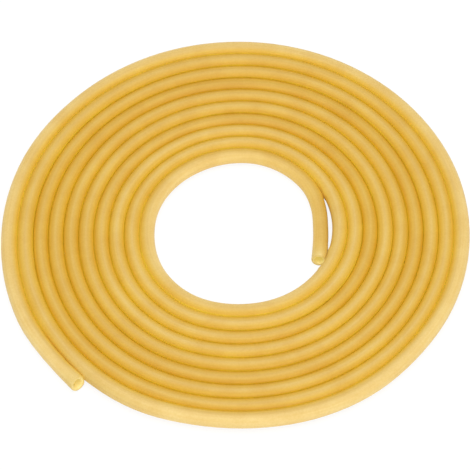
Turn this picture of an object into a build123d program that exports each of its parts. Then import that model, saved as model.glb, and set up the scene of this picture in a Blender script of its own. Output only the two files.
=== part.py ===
import os
from math import cos, pi, radians, sin, sqrt

from build123d import *

# Plain rubber tubing, about five metres of it, wound flat in a single layer.
# The coil lies on XY with its underside at z = 0 and the middle of its outline on the Z axis.
# Millimetres, degrees. Seen from above the tube winds outwards counter-clockwise.

# the tube
tube_bore = 5.0
tube_wall = 1.5

# the winding, from the inner end outwards: half turns on two centres
inner_turn_radius = 44.3  # centre line of the innermost turn
turn_gap = 0.1  # between one turn and the next
half_turns = 18
outer_sweep = 126.3  # of the last turn, after the whole half turns
outer_straight = 10.0  # run behind the outer cut end

# the inner end bends in from the coil, then runs straight back to the turn outside it
inner_tuck = 2.2  # how much tighter than the innermost turn it bends
inner_sweep = 99.5
inner_heading = 88.0  # of the straight run, away from the inner cut end, from +X

tube_od = tube_bore + 2 * tube_wall
turn_pitch = tube_od + turn_gap
bend_radius = inner_turn_radius - inner_tuck
straight_offset = bend_radius + inner_tuck * cos(radians(inner_sweep))  # its line to the turn's centre
inner_straight = sqrt(inner_turn_radius**2 - straight_offset**2) + inner_tuck * sin(radians(inner_sweep))

os.makedirs("parts", exist_ok=True)

with BuildPart() as wound:
    with BuildLine() as route:
        run = PolarLine((0, 0), inner_straight, inner_heading)
        arc = JernArc(run @ 1, run % 1, bend_radius, inner_sweep)
        radii = [bend_radius]
        for half_turn in range(1, half_turns + 1):
            radii.append(inner_turn_radius + half_turn * turn_pitch / 2)
            arc = JernArc(arc @ 1, arc % 1, radii[-1], 180)
        radii.append(radii[-1] + turn_pitch / 2)
        arc = JernArc(arc @ 1, arc % 1, radii[-1], outer_sweep)
        Line(arc @ 1, arc @ 1 + (arc % 1) * outer_straight)
    with BuildSketch(Plane(origin=route.line @ 0, z_dir=route.line % 0)):
        Circle(tube_od / 2)
        Circle(tube_bore / 2, mode=Mode.SUBTRACT)
    sweep()

# centred on its outline, resting on its underside
outline = wound.part.bounding_box()
shift = Vector(-outline.center().X, -outline.center().Y, -outline.min.Z)
with BuildPart() as rubber_tube:
    with Locations(shift):
        add(wound.part)

rubber_tube.part.label = "rubber_tube"
export_step(rubber_tube.part, "parts/rubber_tube.step")

tube_length = route.wire().length
section = pi * (tube_od**2 - tube_bore**2) / 4
box = rubber_tube.part.bounding_box()
outer_end = route.line @ 1 + shift
outer_way = route.line % 1
inner_end = route.line @ 0 + shift
inner_way = -(route.line % 0)
print("radii", [round(r, 2) for r in radii])
print(f"length {tube_length:.1f} mm, inner straight {inner_straight:.2f} mm")
print(f"volume {rubber_tube.part.volume:.1f}, section times length {section * tube_length:.1f}")
print("size", [round(v, 3) for v in box.size])
print("outer end", [round(v, 4) for v in outer_end], "pointing", [round(v, 6) for v in outer_way])
print("inner end", [round(v, 4) for v in inner_end], "pointing", [round(v, 6) for v in inner_way])
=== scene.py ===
from math import cos, pi, radians, sin, sqrt

import bmesh
import bpy
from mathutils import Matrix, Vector
from mathutils.geometry import intersect_point_line
from mathutils.kdtree import KDTree


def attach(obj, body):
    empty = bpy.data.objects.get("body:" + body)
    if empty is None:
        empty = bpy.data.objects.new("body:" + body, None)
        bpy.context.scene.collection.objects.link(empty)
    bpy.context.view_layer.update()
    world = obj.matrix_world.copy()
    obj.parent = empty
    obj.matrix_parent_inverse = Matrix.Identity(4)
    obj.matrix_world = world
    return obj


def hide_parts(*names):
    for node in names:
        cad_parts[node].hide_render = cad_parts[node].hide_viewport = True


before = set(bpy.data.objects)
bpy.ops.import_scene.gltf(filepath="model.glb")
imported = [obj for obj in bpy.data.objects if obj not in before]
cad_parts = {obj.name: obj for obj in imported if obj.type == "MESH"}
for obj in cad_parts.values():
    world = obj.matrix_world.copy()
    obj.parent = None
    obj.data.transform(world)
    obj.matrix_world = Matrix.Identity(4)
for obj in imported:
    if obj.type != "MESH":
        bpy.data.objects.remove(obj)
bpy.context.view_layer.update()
scene = bpy.context.scene
scene.view_settings.view_transform = "Standard"
mm = 0.001


def hexColor(text):  # sRGB hex to linear
    out = []
    for i in (0, 2, 4):
        c = int(text[i:i + 2], 16) / 255
        out.append(c / 12.92 if c <= 0.04045 else ((c + 0.055) / 1.055) ** 2.4)
    return (*out, 1.0)


def addNode(tree, kind, settings=None, inputs=None):  # inputs: socket -> value, or the output to link
    node = tree.nodes.new(kind)
    for key, value in (settings or {}).items():
        setattr(node, key, value)
    for key, value in (inputs or {}).items():
        if isinstance(value, bpy.types.NodeSocket):
            tree.links.new(value, node.inputs[key])
        else:
            node.inputs[key].default_value = value
    return node


def newMaterial(name):
    mat = bpy.data.materials.new(name)
    mat.use_nodes = True
    mat.node_tree.nodes.clear()
    return mat, mat.node_tree


def clamped(value):
    return max(0.0, min(1.0, value))


# the camera stands where the photo was taken from, over the near edge of the coil
view = {
    "target": (-0.31, -5.03, 4.0),  # mm
    "distance": 1480.0,             # mm
    "elevation": 56.4,              # degrees
    "lens": 216.9,
    "sensor": 36.0,
}
camData = bpy.data.cameras.new("camera")
camData.lens = view["lens"]
camData.sensor_width = view["sensor"]
camera = bpy.data.objects.new("camera", camData)
tilt = radians(view["elevation"])
back = Vector((0, -cos(tilt), sin(tilt))) * view["distance"]
camera.location = (Vector(view["target"]) + back) * mm
camera.rotation_euler = (pi / 2 - tilt, 0, 0)
scene.collection.objects.link(camera)
scene.camera = camera
print("camera at", [round(v, 4) for v in camera.location])

# the winding, from the outer cut end inwards, clockwise seen from above
winding = {
    "middle": (2.0, -2.2),          # mm, its own centre in the part's frame
    "outerRadius": 121.43,          # mm, centre line at the outer end
    "pitch": 7.93,                  # mm towards the middle for each turn
    "outerAngle": 228.9,            # degrees, where the outer end lies
    "stepsPerTurn": 24,
    "steps": 230,
    "splineSteps": 5,               # points of the line for each step
    # laid by hand, so not quite round: mm that each step of a turn stands out, from the outer end on
    "uneven": [1.7, 1.2, 0.2, -0.7, -0.9, -1.2, -1.5, -1.6, -1.2, -0.6, 0.1, 0.1,
               -0.2, -0.4, -0.5, -0.4, -0.3, -0.2, -0.1, 0.1, 0.2, 0.3, 0.9, 1.7],
    # and the outermost turn besides
    "outerSlack": [1.0, 1.2, 0.8, 0.6, 0.5, 0.6, 0.3, 0.8, 0.9, 0.5, 0.1, 0.1, 0.3, 0.3,
                   0.5, 0.2, 0.1, 0.0, -0.4, 0.7, 0.5, -0.1, -0.4, 0.9, 0.6, 0.3, 0.1],
    "innerShift": (0.0, 1.0, 2.2),  # mm in X and Y that the innermost turn lies off, over so many turns
    # mm that the turns ride up where they are squeezed, from the outer end on
    "rise": [0.4, 0.6, 0.6, 0.7, 0.7, 0.6, 0.4, 0.7, 0.2, 0.3, 0.5, 0.6, 0.5, 0.1,
             0.0, 0.4, 0.2, 0.4, 0.4, 0.6, 0.4, 0.5, 0.5, 0.7, 0.7, 0.3, 0.0, 0.2,
             0.7, 0.9, 0.6, 0.9, 0.7, 0.7, 0.8, 0.9, 0.9, 0.8, 0.4, 0.0],
    "risesPerTurn": 4,
    "mostRise": 0.9,                # mm
}
# the last of the tube leaves the winding and runs free, mm from the winding's centre
innerRun = [(42.1, 14.1), (42.6, 1.3), (42.4, -8.7), (41.3, -18.7)]

tube = {
    "height": 8.0,                  # mm outside
    "bore": 5.0,                    # mm
    "roundness": 14,                # bevel resolution: 4 + 2 x this many faces round the tube
    "rimSoftness": 0.6,             # mm, knife-cut edges of soft rubber aren't sharp
    "rimSegments": 2,
    "cutSlope": (0.28, 0.18),       # how far the outer and the inner cut lean back, for each mm of height
    "endSwell": (0.05, 2.0),        # the outermost turn isn't stretched, so it is thicker: share, and turns
    "sharpAngle": 50,               # degrees
    # how the turns press on each other
    "sameTurn": 100.0,              # mm along the tube within which it isn't its own neighbour
    "reach": 1.09,                  # times its radius that a side may swell to touch its neighbour
    "gripEase": 0.03,               # of its radius, over which it comes to full contact
    "flatHeight": 0.25,             # of its radius above and below its middle, flat where it is pressed
    # how light gets into it, which the material paints into its colour as light and shade, and as a glow
    "nearby": (1.12, 1.3),          # times its radius: a neighbour so near gives a side the full painted shade, or none
    "toneReach": 6,                 # points of the line each way that a tone is spread over
    "paintedFreeLight": (0.27, 0.03),       # painted light: how much paler a turn is painted with nothing outside it, and with nothing inside it
    "paintedCutLight": 0.36,                # and at a cut, painted light too
    "litEnd": 15.0,                 # mm behind a cut that are painted paler, as light comes in at the cut
    "freshCut": 8.0,                # mm behind a cut that are painted a paler colour, less where a neighbour presses
    "seamLight": 0.45,              # painted light, a glow: light that comes through the outermost and the innermost turn into a seam
    "cutLight": 2.0,                # and a painted glow through a cut end into the seam beside it
    "boreLight": (0.9, 1.25),       # and a painted glow into the bore, at the outer and at the inner end
}


def thickness(turn):  # times the plain tube's, so many turns from the outer end
    swell, turns = tube["endSwell"]
    return 1 + swell * clamped(2 * (1 - turn / turns))


def windingPoints():
    w = winding
    step = 2 * pi / w["stepsPerTurn"]
    shiftX, shiftY, shiftTurns = w["innerShift"]
    points = []
    for i in range(w["steps"]):
        turn = i / w["stepsPerTurn"]
        angle = radians(w["outerAngle"]) - i * step
        radius = w["outerRadius"] - w["pitch"] * turn
        radius += w["uneven"][i % w["stepsPerTurn"]]
        if i < len(w["outerSlack"]):
            radius += w["outerSlack"][i]
        if i > 0:
            radius /= cos(step / 2)  # the spline runs inside its control points
        shift = max(0, 1 - (w["steps"] - i) / w["stepsPerTurn"] / shiftTurns)
        at = turn * w["risesPerTurn"]
        before, after = w["rise"][int(at):int(at) + 2]
        rise = before + (after - before) * (at - int(at))
        points.append((radius * cos(angle) + shiftX * shift, radius * sin(angle) + shiftY * shift,
                       tube["height"] / 2 * thickness(turn) + rise))
    return points


def routeCurve(points):
    curve = bpy.data.curves.new("tubeRoute", "CURVE")
    curve.dimensions = "3D"
    curve.twist_mode = "Z_UP"
    curve.bevel_resolution = tube["roundness"]
    spline = curve.splines.new("NURBS")
    spline.points.add(len(points) - 1)
    midX, midY = winding["middle"]
    for point, (x, y, z) in zip(spline.points, points):
        point.co = ((midX + x) * mm, (midY + y) * mm, z * mm, 1)
    spline.order_u = 3
    spline.use_endpoint_u = True
    spline.resolution_u = winding["splineSteps"]
    return bpy.data.objects.new("tubeRoute", curve)


def meshAlong(route, radius):  # no radius gives the bare line
    route.data.bevel_depth = radius * mm
    return bpy.data.meshes.new_from_object(route)


route = routeCurve(windingPoints() + [(x, y, tube["height"] / 2) for x, y in innerRun])
scene.collection.objects.link(route)
line = [v.co.copy() for v in meshAlong(route, 0).vertices]
perTurn = winding["stepsPerTurn"] * winding["splineSteps"]  # points of the line
thick = [thickness(i / winding["splineSteps"] / winding["stepsPerTurn"]) for i in range(len(line))]
run = [0.0]  # metres along the tube to each point of the line
for a, b in zip(line, line[1:]):
    run.append(run[-1] + (b - a).length)
sides = []  # level, square to the line, away from the middle
for i in range(len(line)):
    along = line[min(i + 1, len(line) - 1)] - line[max(i - 1, 0)]
    sides.append(Vector((-along.y, along.x, 0)).normalized())
print("route", len(line), "points,", round(run[-1], 4), "m")


def roomBeside():  # each point's share of the level distance to the next turn out (1) and in (-1)
    flat = [Vector((p.x, p.y, 0)) for p in line]
    finder = KDTree(len(flat))
    for i, p in enumerate(flat):
        finder.insert(p, i)
    finder.balance()
    free = tube["height"] * mm
    found = []
    for i, p in enumerate(flat):
        beside = {1: free, -1: free}
        for q, j, distance in finder.find_range(p, 2 * free):
            if abs(run[j] - run[i]) < tube["sameTurn"] * mm:
                continue
            side = 1 if (q - p).dot(sides[i]) > 0 else -1
            for k in (j - 1, j):
                if 0 <= k < len(flat) - 1:
                    share = intersect_point_line(p, flat[k], flat[k + 1])[1]
                    foot = flat[k].lerp(flat[k + 1], clamped(share))
                    beside[side] = min(beside[side], (foot - p).length * thick[i] / (thick[i] + thick[j]))
        found.append(beside)
    return found


room = roomBeside()


def roomInRadii(side):
    radius = tube["height"] / 2 * mm
    return [beside[side] / radius / big for beside, big in zip(room, thick)]


def gripAlong(side):  # 0 where a side is free, 1 where it is pressed against its neighbour
    return [clamped((tube["reach"] - wide) / tube["gripEase"]) for wide in roomInRadii(side)]


def eased(values, reach):  # the mean over so many points each way
    out = []
    for i in range(len(values)):
        near = values[max(0, i - reach):i + reach + 1]
        out.append(sum(near) / len(near))
    return out


def shadeAlong(side):  # 0 where light comes in freely on a side, 1 where its neighbour keeps it out
    full, none = tube["nearby"]
    dark = [clamped((none - wide) / (none - full)) for wide in roomInRadii(side)]
    return eased(dark, tube["toneReach"])  # light creeps along the tube, so its tone changes slowly


grip = {side: gripAlong(side) for side in (1, -1)}
shade = {side: shadeAlong(side) for side in (1, -1)}


def lightThrough(ring, side):  # 1 in a seam beside a turn that has nothing on its other side
    outer, inner = (ring - perTurn, ring) if side > 0 else (ring, ring + perTurn)
    return 1 - min(shade[1][max(outer, 0)], shade[-1][min(inner, len(line) - 1)])


def nearCut(ring, reach):  # 1 at a cut, 0 from so many mm behind it
    return max(0.0, 1 - min(run[ring], run[-1] - run[ring]) / (reach * mm))


def pressed(ring, across, up, radius):  # where soft rubber ends up: flat against its neighbour, crowned above
    side = 1 if across > 0 else -1
    flat = tube["flatHeight"]
    level = max(0.0, abs(up) / radius - flat) / (1 - flat)
    wide = room[ring][side] * sqrt(max(0.0, 1 - min(level, 1) ** 2))
    return across + (wide * side - across) * grip[side][ring]


cutLean = {}  # what the cut ends lean back for each metre of height
for slope, tip, behind in zip(tube["cutSlope"], (0, len(line) - 1), (1, len(line) - 2)):
    cutLean[tip] = (line[tip] - line[behind]).normalized() * slope

boreTone, seamTone = -2.0, 1.0  # ends of the crease scale of painted light and shade, the bore painted paler and the seam painted shade, with -1 on a free side, painted paler, and 0 on a crown


def toneSkin(v, layers, ring, across, radius):  # what the material is told about the outside: where it paints light, shade and glow
    out, inn = shade[1][ring], shade[-1][ring]
    side, near = (1, out) if across > 0 else (-1, inn)
    edge = min(1.0, abs(across) / radius)
    rise = (line[ring].z / mm - tube["height"] / 2 * thick[ring]) / winding["mostRise"]
    cut = nearCut(ring, tube["litEnd"])
    # painted light: paler where nothing lies outside a turn, where nothing lies inside it, and behind a cut
    paintedLight = max(tube["paintedFreeLight"][0] * (1 - out), tube["paintedFreeLight"][1] * (1 - inn), tube["paintedCutLight"] * cut)
    light = max(tube["seamLight"] * lightThrough(ring, side), tube["cutLight"] * cut)
    # painted shade towards a pressed side and painted light towards a free one; painted shade on turns lying
    # lower; a painted glow in some seams
    v[layers["crease"]] = edge * (2 * near - 1) - paintedLight * (1 - edge)
    v[layers["paintedLowShade"]] = (1 - rise) * out
    v[layers["freshCut"]] = nearCut(ring, tube["freshCut"]) * (1 - edge * near)
    v[layers["seamLight"]] = edge ** 3 * near * light


def addWall(bm, layers, radius, soft):  # the outside, which is soft, or the bore
    old = set(bm.verts)
    bm.from_mesh(meshAlong(route, radius))
    wall = [v for v in bm.verts if v not in old]
    around = len(wall) // len(line)
    for i, v in enumerate(wall):
        ring = i // around
        off = (v.co - line[ring]) * thick[ring]
        across, up = off.dot(sides[ring]), off.z
        v[layers["tubePlace"]] = (run[ring], across, up)
        if soft:
            toneSkin(v, layers, ring, across, off.length)
            across = pressed(ring, across, up, off.length)
        else:
            # the bore takes the paler bore end of the ramp and a painted glow, painted light through the wall
            v[layers["crease"]] = boreTone
            v[layers["seamLight"]] = tube["boreLight"][0 if 2 * ring < len(line) else 1]
        v.co = line[ring] + sides[ring] * across + Vector((0, 0, up))
        if ring in cutLean:
            v.co -= cutLean[ring] * up


bm = bmesh.new()
layers = {"tubePlace": bm.verts.layers.float_vector.new("tubePlace")}
for name in ("crease", "paintedLowShade", "seamLight", "freshCut"):
    layers[name] = bm.verts.layers.float.new(name)
addWall(bm, layers, tube["height"] / 2, True)
outside = set(bm.faces)
addWall(bm, layers, tube["bore"] / 2, False)
bmesh.ops.reverse_faces(bm, faces=[f for f in bm.faces if f not in outside])
for end in (line[0], line[-1]):
    rims = [e for e in bm.edges if e.is_boundary and (e.verts[0].co - end).length < tube["height"] * mm]
    bmesh.ops.bridge_loops(bm, edges=rims)
    bmesh.ops.bevel(bm, geom=rims, offset=tube["rimSoftness"] * mm, offset_type="OFFSET",
                    segments=tube["rimSegments"], profile=0.5, affect="EDGES", material=-1,
                    clamp_overlap=True)
print("tube", len(bm.faces), "faces, open edges", sum(e.is_boundary for e in bm.edges),
      "volume", round(bm.calc_volume() * 1e6, 2), "cm3")
mesh = bpy.data.meshes.new("rubberTubing")
bm.to_mesh(mesh)
bm.free()
while mesh.uv_layers:  # the curve's own, which nothing reads
    mesh.uv_layers.remove(mesh.uv_layers[0])
mesh.shade_smooth()
mesh.set_sharp_from_angle(angle=radians(tube["sharpAngle"]))
tubing = bpy.data.objects.new("rubberTubing", mesh)
scene.collection.objects.link(tubing)
bpy.data.objects.remove(route)

# natural latex, extruded and cured: see-through amber with a dry satin skin; its colour has painted light,
# paler where light comes in freely, and painted shade, deep orange between the turns
latex = {
    # painted light: the bore is painted paler, as daylight comes through the thin wall
    "bore": "FFEAA6",
    # painted shade: the saturated deep orange of the shaded seams between the turns
    "crease": "FFF04C",
    "between": {"free": (0.36, "FBDD93"), "body": (0.667, "E8C776"),  # from the bore at 0 to a crease at 1; free is painted light, paler, and side and deep are painted shade
                "side": (0.833, "E9C04C"), "deep": (0.917, "EBBF40")},
    "paintedLowShade": "F4E8A8",                # painted shade on turns that lie lower than their neighbours
    "freshCut": "F1D98F",           # paler just behind a cut
    "cloud": "F8F1E2",
    "cloudSize": 14.286,            # mm
    "cloudRange": (0.3, 0.7),       # of the noise, from none to full
    "streak": "FAF6EC",
    "streakSize": (55.556, 1.1765, 1.1765),  # mm along, across and up
    "streakRange": (0.35, 0.65),
    "speck": "FBFAEE",
    "speckSize": 1.0,               # mm
    "speckRange": (0.35, 0.65),
    # painted light: the glow that stands in for daylight through the wall
    "glow": "F0FF9C",
    "glowStrength": 0.11,
    "roughness": (0.42, 0.62),
    "bumpStrength": 0.25,
    "bumpDepth": 0.1,               # mm
    "ior": 1.52,
}
amberLatex, latexTree = newMaterial("amberLatex")
told = {name: addNode(latexTree, "ShaderNodeAttribute", {"attribute_name": name}) for name in layers}
# the tone ramp paints light and shade: paler in the bore and on free sides, deep orange towards the seams
tone = addNode(latexTree, "ShaderNodeMapRange", None, {
    "Value": told["crease"].outputs["Fac"], "From Min": boreTone, "From Max": seamTone})
ramp = addNode(latexTree, "ShaderNodeValToRGB", None, {"Fac": tone.outputs["Result"]})
stops = ramp.color_ramp.elements
stops[0].position, stops[0].color = 0.0, hexColor(latex["bore"])
stops[1].position, stops[1].color = 1.0, hexColor(latex["crease"])
for at, text in latex["between"].values():
    stops.new(at).color = hexColor(text)

coords = addNode(latexTree, "ShaderNodeTexCoord")
# cloudy patches
clouds = addNode(latexTree, "ShaderNodeTexNoise", None, {
    "Vector": coords.outputs["Object"], "Scale": 1 / (latex["cloudSize"] * mm),
    "Detail": 3.0, "Roughness": 0.6})
# die lines that run along the tube, drawn coarser than real ones so that they show
stretched = addNode(latexTree, "ShaderNodeVectorMath", {"operation": "MULTIPLY"}, {
    0: told["tubePlace"].outputs["Vector"], 1: [1 / (size * mm) for size in latex["streakSize"]]})
streaks = addNode(latexTree, "ShaderNodeTexNoise", None, {
    "Vector": stretched.outputs[0], "Scale": 1.0, "Detail": 1.0})
# dry grain, coarser than real so that it shows
specks = addNode(latexTree, "ShaderNodeTexNoise", None, {
    "Vector": coords.outputs["Object"], "Scale": 1 / (latex["speckSize"] * mm), "Detail": 1.0})

# each lies over the one before it
color = ramp.outputs["Color"]
# painted shade on turns lying lower, then a paler colour just behind a cut
for name, blend in (("paintedLowShade", "MULTIPLY"), ("freshCut", "MIX")):
    over = addNode(latexTree, "ShaderNodeMix", {"data_type": "RGBA", "blend_type": blend}, {
        0: told[name].outputs["Fac"], 6: color, 7: hexColor(latex[name])})
    color = over.outputs[2]
for name, noise in (("cloud", clouds), ("streak", streaks), ("speck", specks)):
    start, full = latex[name + "Range"]
    amount = addNode(latexTree, "ShaderNodeMapRange", None, {
        "Value": noise.outputs["Fac"], "From Min": start, "From Max": full})
    over = addNode(latexTree, "ShaderNodeMix", {"data_type": "RGBA", "blend_type": "MULTIPLY"}, {
        0: amount.outputs["Result"], 6: color, 7: hexColor(latex[name])})
    color = over.outputs[2]

smooth, dull = latex["roughness"]
satin = addNode(latexTree, "ShaderNodeMapRange", None, {
    "Value": clouds.outputs["Fac"], "To Min": smooth, "To Max": dull})
ridges = addNode(latexTree, "ShaderNodeMath", {"operation": "ADD"}, {
    0: streaks.outputs["Fac"], 1: specks.outputs["Fac"]})
skin = addNode(latexTree, "ShaderNodeBump", None, {
    "Height": ridges.outputs[0], "Strength": latex["bumpStrength"], "Distance": latex["bumpDepth"] * mm})
# painted light: an emitted glow that stands in for daylight coming through the wall into the bore and into
# some of the seams
glow = addNode(latexTree, "ShaderNodeMix", {"data_type": "RGBA", "clamp_factor": False}, {
    0: told["seamLight"].outputs["Fac"], 6: hexColor("000000"), 7: hexColor(latex["glow"])})
rubber = addNode(latexTree, "ShaderNodeBsdfPrincipled", None, {
    "Base Color": color,
    "Roughness": satin.outputs["Result"],
    "Normal": skin.outputs["Normal"],
    "IOR": latex["ior"],
    "Emission Color": glow.outputs[2],
    "Emission Strength": latex["glowStrength"],
})
addNode(latexTree, "ShaderNodeOutputMaterial", None, {"Surface": rubber.outputs["BSDF"]})
mesh.materials.append(amberLatex)
print("latex", len(latexTree.nodes), "nodes")

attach(tubing, "root")
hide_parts("rubber_tube")


def seenWhite(tree):  # 1 for what the camera sees, straight or in gloss and glass
    rays = addNode(tree, "ShaderNodeLightPath")
    seen = rays.outputs["Is Camera Ray"]
    for name in ("Is Glossy Ray", "Is Transmission Ray"):
        either = addNode(tree, "ShaderNodeMath", {"operation": "MAXIMUM"}, {0: seen, 1: rays.outputs[name]})
        seen = either.outputs[0]
    return seen


# studio: white floor and surroundings, one wide soft lamp overhead and one in front
studio = {
    "floorSize": 6.0,               # metres
    "paper": "FAFAFA",              # as it lights the coil
    "seenPaper": ("737373", 0.86),  # as it is seen: what takes the shadow, and white on top
    "worldStrength": 0.69,
    "lamps": {                      # place and size in metres, watts
        "overhead": ((0, 0, 1.2), 1.0, 6.7),
        "front": ((0.4, -1.5, 0.8), 1.2, 6.6),
    },
}
bm = bmesh.new()
bmesh.ops.create_grid(bm, x_segments=1, y_segments=1, size=studio["floorSize"] / 2)
floorMesh = bpy.data.meshes.new("floor")
bm.to_mesh(floorMesh)
bm.free()
floor = bpy.data.objects.new("floor", floorMesh)
scene.collection.objects.link(floor)
whitePaper, paperTree = newMaterial("whitePaper")
shadowColor, whiteness = studio["seenPaper"]
matt = addNode(paperTree, "ShaderNodeBsdfDiffuse", None, {"Color": hexColor(studio["paper"])})
shadowed = addNode(paperTree, "ShaderNodeBsdfDiffuse", None, {"Color": hexColor(shadowColor)})
whitened = addNode(paperTree, "ShaderNodeEmission", None, {"Strength": whiteness})
shown = addNode(paperTree, "ShaderNodeAddShader", None, {0: shadowed.outputs[0], 1: whitened.outputs[0]})
paper = addNode(paperTree, "ShaderNodeMixShader", None, {
    0: seenWhite(paperTree), 1: matt.outputs[0], 2: shown.outputs[0]})
addNode(paperTree, "ShaderNodeOutputMaterial", None, {"Surface": paper.outputs[0]})
floorMesh.materials.append(whitePaper)

world = bpy.data.worlds.new("studio")
scene.world = world
world.use_nodes = True
worldTree = world.node_tree
worldTree.nodes.clear()
backdrop = addNode(worldTree, "ShaderNodeBackground", None, {"Strength": 1.0})
fill = addNode(worldTree, "ShaderNodeBackground", None, {"Strength": studio["worldStrength"]})
surround = addNode(worldTree, "ShaderNodeMixShader", None, {
    0: seenWhite(worldTree), 1: fill.outputs[0], 2: backdrop.outputs[0]})
addNode(worldTree, "ShaderNodeOutputWorld", None, {"Surface": surround.outputs[0]})

for name, (place, size, power) in studio["lamps"].items():
    lampData = bpy.data.lights.new(name, "AREA")
    lampData.shape = "DISK"
    lampData.size = size
    lampData.energy = power
    lamp = bpy.data.objects.new(name, lampData)
    lamp.location = place
    lamp.rotation_euler = (-Vector(place)).to_track_quat("-Z", "Y").to_euler()
    lamp.visible_camera = False
    scene.collection.objects.link(lamp)
print("studio lit")
